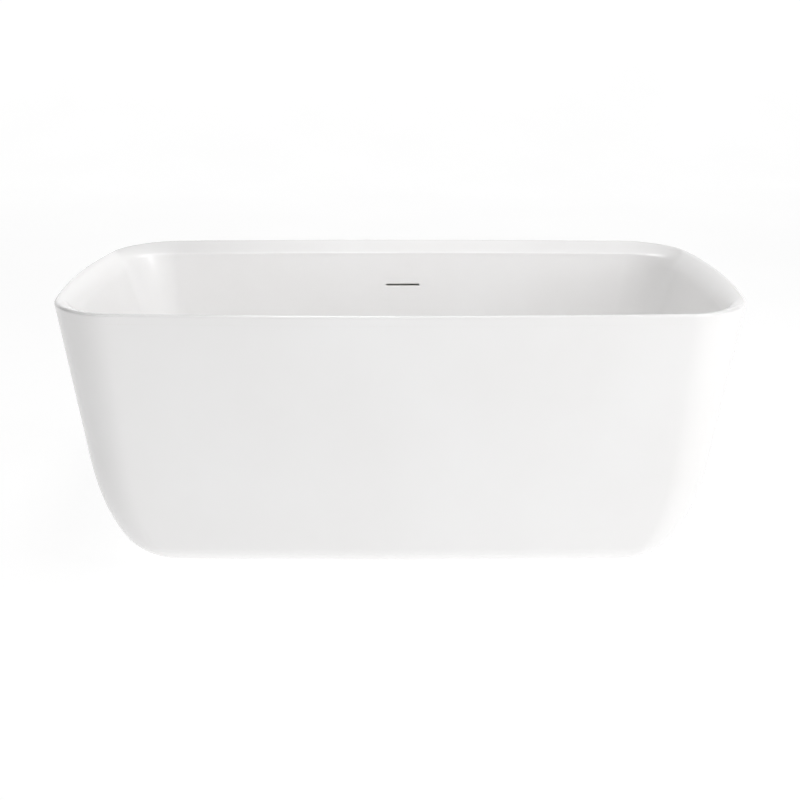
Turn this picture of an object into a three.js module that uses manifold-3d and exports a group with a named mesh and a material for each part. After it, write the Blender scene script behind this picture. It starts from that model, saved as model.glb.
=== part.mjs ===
// Freestanding double-skinned bathtub. Millimetres, +X along the length, +Y to the rear, +Z up.
// Origin on the floor under the middle of the tub.
import * as THREE from 'three';
import { mergeVertices } from 'three/addons/utils/BufferGeometryUtils.js';
import Module from 'manifold-3d';

const wasm = await Module();
wasm.setup();
const { Manifold } = wasm;

// ---- driving dimensions ----
const LENGTH = 1500;            // over the rim
const WIDTH = 750;              // over the rim
const HEIGHT = 580;             // floor to rim
const CORNER_TOP = 125;         // plan corner radius at the rim
const CORNER_FOOT = 87;         // plan corner radius at the foot
const SIDE_BOW_TOP = 20.5, SIDE_BOW_FOOT = 7.6;   // how far the long sides bow out
const END_BOW_TOP = 44.1, END_BOW_FOOT = 27.7;    // how far the ends bow out
const END_TAPER = 7.81, SIDE_TAPER = 0.6;         // degrees off vertical
const END_FOOT = { rx: 128, rz: 242, n: 2.25 };   // curve under the ends
const SIDE_FOOT = { rx: 80, rz: 56, n: 2.2 };     // curve under the long sides
const SHELL = 6;                // acrylic sheet with its glass-fibre backing
const SKIRT_CLEAR = 5;          // skirt edge above the floor
const SEAM_Z = 560, GAP = 0.3;  // seam between basin lip and skirt
const LEDGE_Z = 536;            // bottom of the ledge face, top of the bowl
const FLOOR_Z = 130;            // bathing floor
const RECESS_Z = 122;           // seat of the waste flange
const DRAIN_HOLE = 26;          // radius
const SLOT = { x: 7, z: 472, w: 88, h: 5.2 };     // overflow slot
const BOARD = { lx: 800, ly: 330, z0: 108.5, z1: 120.5, r: 60, hole: 62 };
const TUBE = 25;                // underframe section
const RAIL_Z = 83.2, CROSS_Z = 57.9;
const RAIL_Y = 185, RAIL_LEN = 860, CROSS_LEN = 500;
const CROSS_X = { left: -400, centre: -150, right: 400 };
const FEET = [[-400, -230], [400, -230], [-400, 230], [400, 230], [-150, 0]];
const STUD_R = 6;               // M12 x 1.75
const NUT_BORE = 6.3;

const rad = (d) => (d * Math.PI) / 180;
const lerp = (a, b, t) => a + (b - a) * t;
const group = new THREE.Group();
group.name = 'freestanding_bathtub';

// ---- materials ----
const mat = (color, roughness, metalness) => new THREE.MeshStandardMaterial({ color, roughness, metalness });
const M = {
  acrylic: mat(0xf4f4f2, 0.12, 0),
  resin: mat(0xd9d2b4, 0.7, 0),
  board: mat(0xb48a58, 0.8, 0),
  steel: mat(0x9aa0a3, 0.45, 0.9),
  zinc: mat(0xb9bcbd, 0.35, 0.9),
  chrome: mat(0xd8dadc, 0.08, 1),
  rubber: mat(0x1c1c1c, 0.85, 0),
  pad: mat(0x2a2b2c, 0.7, 0),
  plastic: mat(0xe6e6e2, 0.45, 0),
  grey: mat(0x8d9093, 0.5, 0),
};

// ---- mesh helpers ----
function signedVolume(pos, idx) {
  let v = 0;
  for (let i = 0; i < idx.length; i += 3) {
    const [a, b, c] = [idx[i] * 3, idx[i + 1] * 3, idx[i + 2] * 3];
    v += pos[a] * (pos[b + 1] * pos[c + 2] - pos[b + 2] * pos[c + 1])
       - pos[a + 1] * (pos[b] * pos[c + 2] - pos[b + 2] * pos[c])
       + pos[a + 2] * (pos[b] * pos[c + 1] - pos[b + 1] * pos[c]);
  }
  return v / 6;
}
function indexed(pos, idx) {
  if (signedVolume(pos, idx) < 0) for (let i = 0; i < idx.length; i += 3) [idx[i], idx[i + 1]] = [idx[i + 1], idx[i]];
  const g = new THREE.BufferGeometry();
  g.setAttribute('position', new THREE.BufferAttribute(new Float32Array(pos), 3));
  g.setIndex(idx);
  return g;
}
// rings[m][n] points; closed around each ring, and closed from the last ring back to the first
function torusGrid(rings) {
  const m = rings.length, n = rings[0].length, pos = [], idx = [];
  for (const r of rings) for (const p of r) pos.push(...p);
  for (let i = 0; i < m; i++) for (let j = 0; j < n; j++) {
    const a = i * n + j, b = i * n + (j + 1) % n;
    const c = ((i + 1) % m) * n + j, d = ((i + 1) % m) * n + (j + 1) % n;
    idx.push(a, b, d, a, d, c);
  }
  return indexed(pos, idx);
}
function toManifold(geo) {
  let g = geo.clone();
  g.deleteAttribute('normal');
  g.deleteAttribute('uv');
  g = mergeVertices(g, 1e-4);
  return new Manifold(new wasm.Mesh({
    numProp: 3,
    vertProperties: new Float32Array(g.attributes.position.array),
    triVerts: new Uint32Array(g.index.array),
  }));
}
function fromManifold(man) {
  const mesh = man.getMesh();
  const pos = [];
  for (let i = 0; i < mesh.vertProperties.length; i += mesh.numProp)
    pos.push(mesh.vertProperties[i], mesh.vertProperties[i + 1], mesh.vertProperties[i + 2]);
  return indexed(pos, Array.from(mesh.triVerts));
}
function add(name, geo, material) {
  const mesh = new THREE.Mesh(geo, material);
  mesh.name = name;
  group.add(mesh);
}
const box = (x0, x1, y0, y1, z0, z1) => Manifold.cube([x1 - x0, y1 - y0, z1 - z0]).translate([x0, y0, z0]);
const cyl = (r, z0, z1, seg = 24, x = 0, y = 0) => Manifold.cylinder(z1 - z0, r, r, seg).translate([x, y, z0]);
const cylY = (r, y0, y1, seg, x, z) => Manifold.cylinder(y1 - y0, r, r, seg).rotate([-90, 0, 0]).translate([x, y0, z]);
// solid of revolution about Z from a closed [r, z] loop
function lathe(loop, seg = 28, x = 0, y = 0) {
  const rings = loop.map(([r, z]) => {
    const pts = [];
    for (let i = 0; i < seg; i++) {
      const t = (2 * Math.PI * i) / seg;
      pts.push([x + r * Math.cos(t), y + r * Math.sin(t), z]);
    }
    return pts;
  });
  return torusGrid(rings);
}

// ---- rim, wall and foot outlines ----
const N_END = 2, N_CORNER = 6, N_SIDE = 3;       // segments per quarter: end, corner, side
// quarter outline from (a, 0) to just before (0, b); carries the corner angle 0..90 of each point
function quarter(a, b, R) {
  const q = [];
  for (let i = 0; i < N_END; i++) q.push([a, ((b - R) * i) / N_END, (-30 * (N_END - i)) / N_END]);
  for (let i = 0; i < N_CORNER; i++) {
    const t = rad((90 * i) / N_CORNER);
    q.push([a - R + R * Math.cos(t), b - R + R * Math.sin(t), (90 * i) / N_CORNER]);
  }
  for (let i = 0; i < N_SIDE; i++) q.push([(a - R) * (1 - i / N_SIDE), b, 90]);
  return q;
}
const NQ = N_END + N_CORNER + N_SIDE, N = 4 * NQ;
function ring({ a, b, R, by, bx, z }) {
  const q = quarter(a, b, R);
  q.push([0, b, 90]);
  const bow = ([x, y]) => [x - bx * (y / b) ** 2 * (x / a), y - by * (x / a) ** 2 * (y / b), z];
  const pts = [];
  for (let i = 0; i < NQ; i++) pts.push(bow(q[i]));
  for (let i = NQ; i > 0; i--) pts.push(bow([-q[i][0], q[i][1]]));
  for (let i = 0; i < NQ; i++) pts.push(bow([-q[i][0], -q[i][1]]));
  for (let i = NQ; i > 0; i--) pts.push(bow([q[i][0], -q[i][1]]));
  return pts;
}
const corner = (() => {
  const q = quarter(100, 50, 20).map((p) => p[2]);
  q.push(90);
  const w = [];
  for (let i = 0; i < NQ; i++) w.push(q[i]);
  for (let i = NQ; i > 0; i--) w.push(q[i]);
  for (let i = 0; i < NQ; i++) w.push(q[i]);
  for (let i = NQ; i > 0; i--) w.push(q[i]);
  return w;
})();
// 1 where the long-side ledge is full, 0 along the ends where it has faded out
const ledge = corner.map((c) => {
  const t = Math.min(1, Math.max(0, (c + 9) / 95));
  return t * t * (3 - 2 * t);
});
const mixRings = (A, B) => A.map((p, i) => p.map((v, k) => lerp(B[i][k], v, ledge[i])));
const circle = (r, z) => {
  const pts = [];
  for (let i = 0; i < N; i++) {
    const t = (2 * Math.PI * i) / N;
    pts.push([r * Math.cos(t), r * Math.sin(t), z]);
  }
  return pts;
};

function half(z, top, taper, foot) {
  const tt = Math.tan(rad(taper));
  if (z >= foot.rz) return top - tt * (HEIGHT - z);
  const xc = top - tt * (HEIGHT - foot.rz) - foot.rx;
  const e = Math.max(0, 1 - ((foot.rz - z) / foot.rz) ** foot.n) ** (1 / foot.n);
  return xc + foot.rx * e + tt * (z - foot.rz);
}
function outline(z, inset = 0) {
  const t = z / HEIGHT;
  return {
    a: half(z, LENGTH / 2, END_TAPER, END_FOOT) - inset,
    b: half(z, WIDTH / 2, SIDE_TAPER, SIDE_FOOT) - inset,
    R: lerp(CORNER_FOOT, CORNER_TOP, t) - inset,
    by: lerp(SIDE_BOW_FOOT, SIDE_BOW_TOP, t),
    bx: lerp(END_BOW_FOOT, END_BOW_TOP, t),
    z,
  };
}
// rings pushed a distance along the surface normal, away from the middle when d > 0
function offsetRings(rings, d, from, to) {
  const out = [];
  const n = rings[0].length;
  for (let m = from; m <= to; m++) {
    out.push(rings[m].map((p, j) => {
      const u = new THREE.Vector3(...rings[m][(j + 1) % n]).sub(new THREE.Vector3(...rings[m][(j - 1 + n) % n]));
      const lo = rings[Math.max(m - 1, 0)][j], hi = rings[Math.min(m + 1, rings.length - 1)][j];
      const v = new THREE.Vector3(...hi).sub(new THREE.Vector3(...lo));
      const nn = u.cross(v).normalize();
      return [p[0] + nn.x * d, p[1] + nn.y * d, p[2] + nn.z * d];
    }));
  }
  return out;
}

// ---- bowl profiles: end and side walls from the ledge down to the floor ----
const END_WALL = [[712, LEDGE_Z], [676, 400], [604, FLOOR_Z], [440, FLOOR_Z]];
const SIDE_WALL = [[313, LEDGE_Z], [299, 400], [284, FLOOR_Z], [195, FLOOR_Z]];
const bez = (P, t, k) => (1 - t) ** 3 * P[0][k] + 3 * (1 - t) ** 2 * t * P[1][k] + 3 * (1 - t) * t * t * P[2][k] + t ** 3 * P[3][k];
function atHeight(P, z) {
  let lo = 0, hi = 1;
  for (let i = 0; i < 60; i++) {
    const m = (lo + hi) / 2;
    if (bez(P, m, 1) > z) lo = m; else hi = m;
  }
  return bez(P, (lo + hi) / 2, 0);
}
// plan corner radius of the bowl: tight under the ledge, opening towards the floor
const cornerRadius = (z) => (z > 400 ? lerp(80, 97, (z - 400) / (LEDGE_Z - 400)) : lerp(80, 140, ((400 - z) / (400 - FLOOR_Z)) ** 2));
function bowl(z) {
  const t = (z - FLOOR_Z) / (LEDGE_Z - FLOOR_Z);
  return {
    a: z <= FLOOR_Z ? END_WALL[3][0] : atHeight(END_WALL, z),
    b: z <= FLOOR_Z ? SIDE_WALL[3][0] : atHeight(SIDE_WALL, z),
    R: cornerRadius(z),
    by: lerp(6, 17, t),
    bx: lerp(10, 33, t),
    z,
  };
}

// ---- inner basin ----
{
  const lip = [
    ring(outline(SEAM_Z)),
    ring(outline(574.5)),
    ring({ ...outline(578.6, 1.6), z: 578.6 }),
  ];
  const T = (a, b, R, by, bx, z) => ring({ a, b, R, by, bx, z });
  const crisp = [
    T(745, 370, 122, 20.3, 43.6, 580),
    T(731.2, 345, 114, 19.4, 40, 569.3),
    T(716.7, 317.6, 104, 17.6, 35, 557.5),
    T(715, 314.2, 102, 17.2, 33.8, 555.2),
    T(712, 313, 97, 17, 33, LEDGE_Z),
  ];
  const soft = [
    T(745, 370, 122, 20.3, 43.6, 580),
    T(733, 342.9, 114, 19.4, 40, 572.8),
    T(723.2, 326, 106, 18, 36, 559.6),
    T(716.8, 317.7, 101, 17.4, 34, 547.2),
    T(712, 313, 97, 17, 33, LEDGE_Z),
  ];
  const shelf = crisp.map((c, i) => mixRings(c, soft[i]));
  const levels = [475, 405, 335, 268, 216, 178, 153, 139, 132.5, FLOOR_Z];
  const wall = levels.map((z) => ring(bowl(z)));
  const edge = wall[wall.length - 1];
  const well = circle(38, 127);
  const mid = edge.map((p, i) => p.map((v, k) => lerp(v, well[i][k], 0.55)));
  const top = [...lip, ...shelf, ...wall, mid, well, circle(36.5, RECESS_Z), circle(DRAIN_HOLE, RECESS_Z)];

  // underside, from the waste hole back out to the lip
  const smooth = [shelf[4], ...wall, mid, well];
  const sign = (() => {
    const o = offsetRings(smooth, 1, 2, 2)[0][0];
    return Math.abs(o[0]) > Math.abs(smooth[2][0][0]) ? 1 : -1;
  })();
  const back = offsetRings(smooth, sign * SHELL, 1, smooth.length - 2);
  const pick = [0, 1, 2, 3, 4, 5, 6, 7, 9].map((i) => back[i]);
  const under = [
    circle(DRAIN_HOLE, RECESS_Z - SHELL),
    circle(44, RECESS_Z - SHELL),
    circle(46, 127 - SHELL),
    ...pick.reverse(),
    T(718.4, 319, 103, 17, 33, LEDGE_Z),
    mixRings(T(723, 319.4, 108, 17.2, 34, 551.5), T(729, 332.5, 110, 18, 36, 556.7)),
    mixRings(T(738, 364, 118, 20, 42, 570.8), T(738, 364, 118, 20, 42, 572.6)),
    ring({ ...outline(SEAM_Z + 8, SHELL), z: SEAM_Z + 8 }),
    ring(outline(SEAM_Z, SHELL)),
  ];
  let body = toManifold(torusGrid([...top, ...under]));
  const r = SLOT.h / 2, w = SLOT.w / 2 - r;
  const slot = Manifold.hull([
    cylY(r, 280, 345, 12, SLOT.x - w, SLOT.z),
    cylY(r, 280, 345, 12, SLOT.x + w, SLOT.z),
  ]);
  body = body.subtract(slot);
  add('inner_basin', fromManifold(body), M.acrylic);
}

// ---- outer skirt ----
{
  const zs = [SEAM_Z - GAP, 400, 242, 188, 142, 103, 72, 47, 28, 15, 8, SKIRT_CLEAR];
  const outer = zs.map((z) => ring(outline(z)));
  const foot = outline(SKIRT_CLEAR);
  const sign = (() => {
    const o = offsetRings(outer, 1, 2, 2)[0][0];
    return Math.abs(o[0]) < Math.abs(outer[2][0][0]) ? 1 : -1;
  })();
  const inner = offsetRings(outer, sign * SHELL, 2, zs.length - 4);
  const rings = [
    ...outer,
    ring({ ...foot, a: foot.a - 30, b: foot.b - 30, R: foot.R - 25 }),
    ring({ ...foot, a: foot.a - 30, b: foot.b - 30, R: foot.R - 25, z: SKIRT_CLEAR + SHELL }),
    ...inner.reverse(),
    ring(outline(SEAM_Z - GAP, SHELL)),
  ];
  add('outer_skirt', torusGrid(rings), M.acrylic);
}

// ---- bond band behind the seam ----
{
  const z0 = SEAM_Z - 22, z1 = SEAM_Z + 6;
  add('rim_bond_band', torusGrid([
    ring(outline(z0, SHELL + 0.5)),
    ring({ ...outline(z1, SHELL + 0.5), z: z1 }),
    ring({ ...outline(z1, SHELL + 3.5), z: z1 }),
    ring(outline(z0, SHELL + 3.5)),
  ]), M.resin);
}

// ---- base board ----
{
  const { lx, ly, z0, z1, r, hole } = BOARD;
  const corners = [];
  for (const sx of [-1, 1]) for (const sy of [-1, 1]) corners.push(cyl(r, z0, z1, 16, sx * (lx / 2 - r), sy * (ly / 2 - r)));
  add('base_board', fromManifold(Manifold.hull(corners).subtract(cyl(hole, z0 - 5, z1 + 5, 24))), M.board);
}

// ---- underframe ----
for (const [name, y] of [['frame_rail_front', -RAIL_Y], ['frame_rail_rear', RAIL_Y]])
  add(name, fromManifold(box(-RAIL_LEN / 2, RAIL_LEN / 2, y - TUBE / 2, y + TUBE / 2, RAIL_Z, RAIL_Z + TUBE)), M.steel);
for (const [key, x] of Object.entries(CROSS_X)) {
  let bar = box(x - TUBE / 2, x + TUBE / 2, -CROSS_LEN / 2, CROSS_LEN / 2, CROSS_Z, CROSS_Z + TUBE);
  for (const [fx, fy] of FEET) if (fx === x) bar = bar.subtract(cyl(7.2, CROSS_Z - 5, CROSS_Z + 23.4, 12, fx, fy));
  add(`frame_cross_${key}`, fromManifold(bar), M.steel);
}

// ---- levelling feet ----
FEET.forEach(([x, y], i) => {
  const n = i + 1;
  add(`foot_${n}_pad`, lathe([
    [27, 0], [28, 1.5], [28, 6], [14, 13], [12.5, 31], [11.5, 32], [6.6, 32], [6.6, 11.6], [2.5, 11.6], [2.5, 0],
  ], 16, x, y), M.pad);
  const shank = Manifold.union([cyl(STUD_R, 12, 79, 12, x, y), cyl(STUD_R - 1, 78.9, 80, 12, x, y)]);
  const collar = Manifold.cylinder(8, 9.8, 9.8, 6).translate([x, y, 32.3]);
  add(`foot_${n}_stud`, fromManifold(Manifold.union([shank, collar])), M.zinc);
  const hex = (r, z0, z1, turn) => Manifold.cylinder(z1 - z0, r, r, 6).rotate([0, 0, turn]).translate([x, y, z0])
    .subtract(cyl(NUT_BORE / Math.cos(Math.PI / 12), z0 - 1, z1 + 1, 12, x, y));
  add(`foot_${n}_lock_nut`, fromManifold(hex(10.9, 40.6, 47.2, 14)), M.zinc);
  add(`foot_${n}_weld_nut`, fromManifold(hex(10.9, 47.5, 57.6, 0)), M.steel);
});

// ---- waste ----
add('waste_gasket_upper', lathe([[24.2, 122.3], [34, 122.3], [34, 124.3], [24.2, 124.3]], 24), M.rubber);
{
  const body = toManifold(lathe([
    [23.4, 74], [23.4, 124.6], [35.6, 124.6], [36.2, 125.4], [34.8, 126.8], [30, 127.1], [24.4, 126.4], [20.5, 123.6], [20.5, 74],
  ], 24));
  const hub = cyl(12.2, 84, 93, 16).subtract(cyl(9.6, 80, 97, 16));
  const arms = [0, 120, 240].map((t) => box(11, 21.8, -1.6, 1.6, 84, 92).rotate([0, 0, t + 30]));
  add('waste_flange', fromManifold(Manifold.union([body, hub, ...arms])), M.chrome);
}
add('waste_latch', lathe([[5.6, 81], [9, 81], [9, 95], [10.6, 95.2], [10.6, 98], [7.6, 99.5], [7.6, 107], [5.6, 107]], 16), M.plastic);
add('waste_stopper_cap', fromManifold(new wasm.CrossSection([[
  [0, 86], [4.6, 86], [5, 86.8], [5, 122], [8, 124], [8, 127.8], [31, 128.1], [32.6, 128.9], [32.2, 130.4], [27, 132.4], [16, 134], [6, 134.6], [0, 134.8],
]]).revolve(24)), M.chrome);
add('waste_stopper_seal', lathe([[8.4, 124.9], [20.4, 124.9], [22, 125.9], [22, 127.1], [20.6, 127.6], [8.4, 127.5]], 24), M.rubber);
add('waste_gasket_lower', lathe([[24.4, 112.9], [38, 112.9], [38, 115.7], [24.4, 115.7]], 24), M.rubber);
{
  const solid = Manifold.union([
    cyl(40, 107.5, 112.6, 24), cyl(29, 53, 108, 24), cyl(24, 39.5, 54, 24), cylY(15.5, 10, 31.5, 16, 0, 64),
  ]);
  const voids = Manifold.union([
    cyl(24.2, 52.5, 114, 24), cyl(17.5, 45, 60, 24), cyl(20.7, 30, 50, 24), cylY(12.7, 21, 40, 16, 0, 64),
  ]);
  add('waste_shoe', fromManifold(solid.subtract(voids)), M.grey);
  // side inlet, screwed into the boss of the shoe
  const inlet = Manifold.union([cylY(12.4, 25.5, 72, 16, 0, 64), cylY(16.4, 31.8, 37.8, 6, 0, 64), cylY(12.8, 69, 70.6, 16, 0, 64)]);
  add('waste_side_inlet', fromManifold(inlet.subtract(cylY(10, 20, 90, 16, 0, 64))), M.grey);
}
add('waste_tailpiece', lathe([[17, 7], [19.5, 7], [20, 7.8], [20, 49.4], [17, 49.4]], 24), M.plastic);
{
  let nut = Manifold.union([cyl(31, 31, 47.5, 24)]);
  const ribs = [];
  for (let i = 0; i < 6; i++) ribs.push(box(30, 33, -4, 4, 32, 46.5).rotate([0, 0, 60 * i]));
  nut = Manifold.union([nut, ...ribs]).subtract(Manifold.union([cyl(24.6, 36, 55, 24), cyl(20.7, 28, 40, 24)]));
  add('waste_tailpiece_nut', fromManifold(nut), M.grey);
}

// ---- overflow ----
const slopeAt = (z) => Math.atan2(atHeight(SIDE_WALL, z + 5) - atHeight(SIDE_WALL, z - 5), 10);
const TILT = slopeAt(SLOT.z);
const BACK_Y = atHeight(SIDE_WALL, SLOT.z) + SHELL / Math.cos(TILT) + 0.35;
const place = (man) => man.rotate([-(TILT * 180) / Math.PI, 0, 0]).translate([SLOT.x, BACK_Y, SLOT.z]);
const roundBox = (w, h, r, y0, y1) => Manifold.hull([-1, 1].flatMap((sx) => [-1, 1].map((sz) => cylY(r, y0, y1, 8, sx * (w / 2 - r), sz * (h / 2 - r)))));
add('overflow_gasket', fromManifold(place(roundBox(112, 30, 8, 0.3, 3.3).subtract(roundBox(98, 15, 5, -2, 6)))), M.rubber);
{
  const shell = Manifold.union([
    roundBox(118, 36, 9, 3.6, 6.6), roundBox(106, 27, 7, 6, 34), cyl(12.4, -44, -5, 16, 0, 20), cyl(12.8, -43, -41.4, 16, 0, 20),
  ]);
  const voids = Manifold.union([roundBox(98, 20, 5, 2, 31), cyl(10, -70, 0, 16, 0, 20)]);
  add('overflow_housing', fromManifold(place(shell.subtract(voids))), M.plastic);
}
// flexible hose, held at both ends
const rotP = (x, y, z) => {
  const c = Math.cos(-TILT), s = Math.sin(-TILT);
  return new THREE.Vector3(SLOT.x + x, BACK_Y + y * c - z * s, SLOT.z + y * s + z * c);
};
function tube(points, rOut, rIn, seg, around) {
  const curve = new THREE.CatmullRomCurve3(points, false, 'centripetal');
  const outer = [], inner = [];
  let up = new THREE.Vector3(1, 0, 0);
  for (let i = 0; i <= seg; i++) {
    const p = curve.getPointAt(i / seg), t = curve.getTangentAt(i / seg);
    const u = up.clone().sub(t.clone().multiplyScalar(up.dot(t))).normalize();
    const v = t.clone().cross(u);
    const o = [], n = [];
    for (let k = 0; k < around; k++) {
      const a = (2 * Math.PI * k) / around;
      const d = u.clone().multiplyScalar(Math.cos(a)).add(v.clone().multiplyScalar(Math.sin(a)));
      o.push(p.clone().add(d.clone().multiplyScalar(rOut)).toArray());
      n.push(p.clone().add(d.clone().multiplyScalar(rIn)).toArray());
    }
    outer.push(o);
    inner.push(n);
  }
  return torusGrid([...outer, ...inner.reverse()]);
}
const HOSE = [
  rotP(0, 20, -19.5), rotP(0, 20, -40), rotP(0, 20, -60),
  new THREE.Vector3(6.5, 333.5, 370), new THREE.Vector3(5.5, 336, 300), new THREE.Vector3(4, 337, 230), new THREE.Vector3(3, 336, 170),
  new THREE.Vector3(2.3, 331, 125), new THREE.Vector3(1.5, 314, 88), new THREE.Vector3(0.7, 283, 69), new THREE.Vector3(0, 245, 64.3),
  new THREE.Vector3(0, 200, 64), new THREE.Vector3(0, 150, 64), new THREE.Vector3(0, 100, 64), new THREE.Vector3(0, 70, 64), new THREE.Vector3(0, 43, 64),
];
add('overflow_hose', tube(HOSE, 16, 13.8, 22, 10), M.grey);
const clampBand = () => Manifold.union([cyl(18.2, -6, 6, 20), box(-8, 8, 16.6, 23, -5, 5)]).subtract(cyl(16.7, -10, 10, 20));
add('overflow_clamp_upper', fromManifold(place(clampBand().rotate([0, 0, 90]).translate([0, 20, -30]))), M.zinc);
add('overflow_clamp_lower', fromManifold(clampBand().rotate([90, 0, 0]).translate([0, 54, 64])), M.zinc);

export default group;
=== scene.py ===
import bpy, math
from mathutils import Vector, Matrix


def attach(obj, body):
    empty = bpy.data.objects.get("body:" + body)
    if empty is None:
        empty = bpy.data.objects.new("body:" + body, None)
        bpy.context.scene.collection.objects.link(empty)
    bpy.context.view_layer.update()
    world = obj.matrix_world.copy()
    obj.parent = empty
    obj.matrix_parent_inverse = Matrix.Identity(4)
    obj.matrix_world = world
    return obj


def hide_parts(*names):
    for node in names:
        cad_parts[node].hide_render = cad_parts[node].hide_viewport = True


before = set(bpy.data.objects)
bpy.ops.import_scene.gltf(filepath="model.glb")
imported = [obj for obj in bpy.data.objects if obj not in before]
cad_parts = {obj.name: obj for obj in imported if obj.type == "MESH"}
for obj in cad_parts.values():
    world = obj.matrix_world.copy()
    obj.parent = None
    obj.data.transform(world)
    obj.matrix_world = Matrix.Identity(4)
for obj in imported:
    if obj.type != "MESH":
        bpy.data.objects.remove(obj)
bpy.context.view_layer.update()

sc = bpy.context.scene
MM = 0.001
R = math.radians

# ------------------------------------------------------------------ materials
def lin(c):
    return tuple((x / 12.92 if x <= 0.04045 else ((x + 0.055) / 1.055) ** 2.4) for x in c) + (1.0,)

class Mat:
    """One node material: a mottled base colour, mottled roughness and a bump chain."""
    def __init__(self, name, dark, light, rough=(0.4, 0.5), scale=20.0, detail=4.0, metal=0.0, stretch=(1, 1, 1)):
        self.m = bpy.data.materials.new(name)
        self.m.use_nodes = True
        self.nt = self.m.node_tree
        self.bsdf = self.nt.nodes["Principled BSDF"]
        self.bsdf.inputs["Metallic"].default_value = metal
        self.co = self.nt.nodes.new("ShaderNodeTexCoord")
        self.map = self.nt.nodes.new("ShaderNodeMapping")
        self.map.inputs["Scale"].default_value = stretch
        self.nt.links.new(self.co.outputs["Object"], self.map.inputs["Vector"])
        n = self.noise(scale, detail)
        self.ramp = self.nt.nodes.new("ShaderNodeValToRGB")
        self.ramp.color_ramp.elements[0].position = 0.3
        self.ramp.color_ramp.elements[1].position = 0.7
        self.ramp.color_ramp.elements[0].color = lin(dark)
        self.ramp.color_ramp.elements[1].color = lin(light)
        self.nt.links.new(n.outputs["Fac"], self.ramp.inputs["Fac"])
        self.colour = self.ramp.outputs["Color"]
        self.nt.links.new(self.colour, self.bsdf.inputs["Base Color"])
        r = self.noise(scale * 1.7, 3.0)
        mr = self.nt.nodes.new("ShaderNodeMapRange")
        mr.inputs["From Min"].default_value = 0.3
        mr.inputs["From Max"].default_value = 0.7
        mr.inputs["To Min"].default_value = rough[0]
        mr.inputs["To Max"].default_value = rough[1]
        self.nt.links.new(r.outputs["Fac"], mr.inputs["Value"])
        self.nt.links.new(mr.outputs["Result"], self.bsdf.inputs["Roughness"])
        self.last = None
    def noise(self, scale, detail=3.0, vec=None):
        n = self.nt.nodes.new("ShaderNodeTexNoise")
        n.inputs["Scale"].default_value = scale
        n.inputs["Detail"].default_value = detail
        self.nt.links.new((vec or self.map.outputs["Vector"]), n.inputs["Vector"])
        return n
    def voronoi(self, scale, feature="F1"):
        v = self.nt.nodes.new("ShaderNodeTexVoronoi")
        v.feature = feature
        v.inputs["Scale"].default_value = scale
        self.nt.links.new(self.map.outputs["Vector"], v.inputs["Vector"])
        return v
    def bump(self, socket, strength, distance):
        b = self.nt.nodes.new("ShaderNodeBump")
        b.inputs["Strength"].default_value = strength
        b.inputs["Distance"].default_value = distance
        self.nt.links.new(socket, b.inputs["Height"])
        if self.last:
            self.nt.links.new(self.last, b.inputs["Normal"])
        self.last = b.outputs["Normal"]
        self.nt.links.new(self.last, self.bsdf.inputs["Normal"])
        return self
    def tint(self, fac, colour, amount=1.0):
        mix = self.nt.nodes.new("ShaderNodeMix")
        mix.data_type = "RGBA"
        mul = self.nt.nodes.new("ShaderNodeMath")
        mul.operation = "MULTIPLY"
        mul.inputs[1].default_value = amount
        self.nt.links.new(fac, mul.inputs[0])
        self.nt.links.new(mul.outputs[0], mix.inputs["Factor"])
        self.nt.links.new(self.colour, mix.inputs["A"])
        mix.inputs["B"].default_value = lin(colour)
        self.colour = mix.outputs["Result"]
        self.nt.links.new(self.colour, self.bsdf.inputs["Base Color"])
        return self
    def ramp_of(self, socket, a, b):
        mr = self.nt.nodes.new("ShaderNodeMapRange")
        mr.inputs["From Min"].default_value = a
        mr.inputs["From Max"].default_value = b
        self.nt.links.new(socket, mr.inputs["Value"])
        return mr.outputs["Result"]

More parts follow.
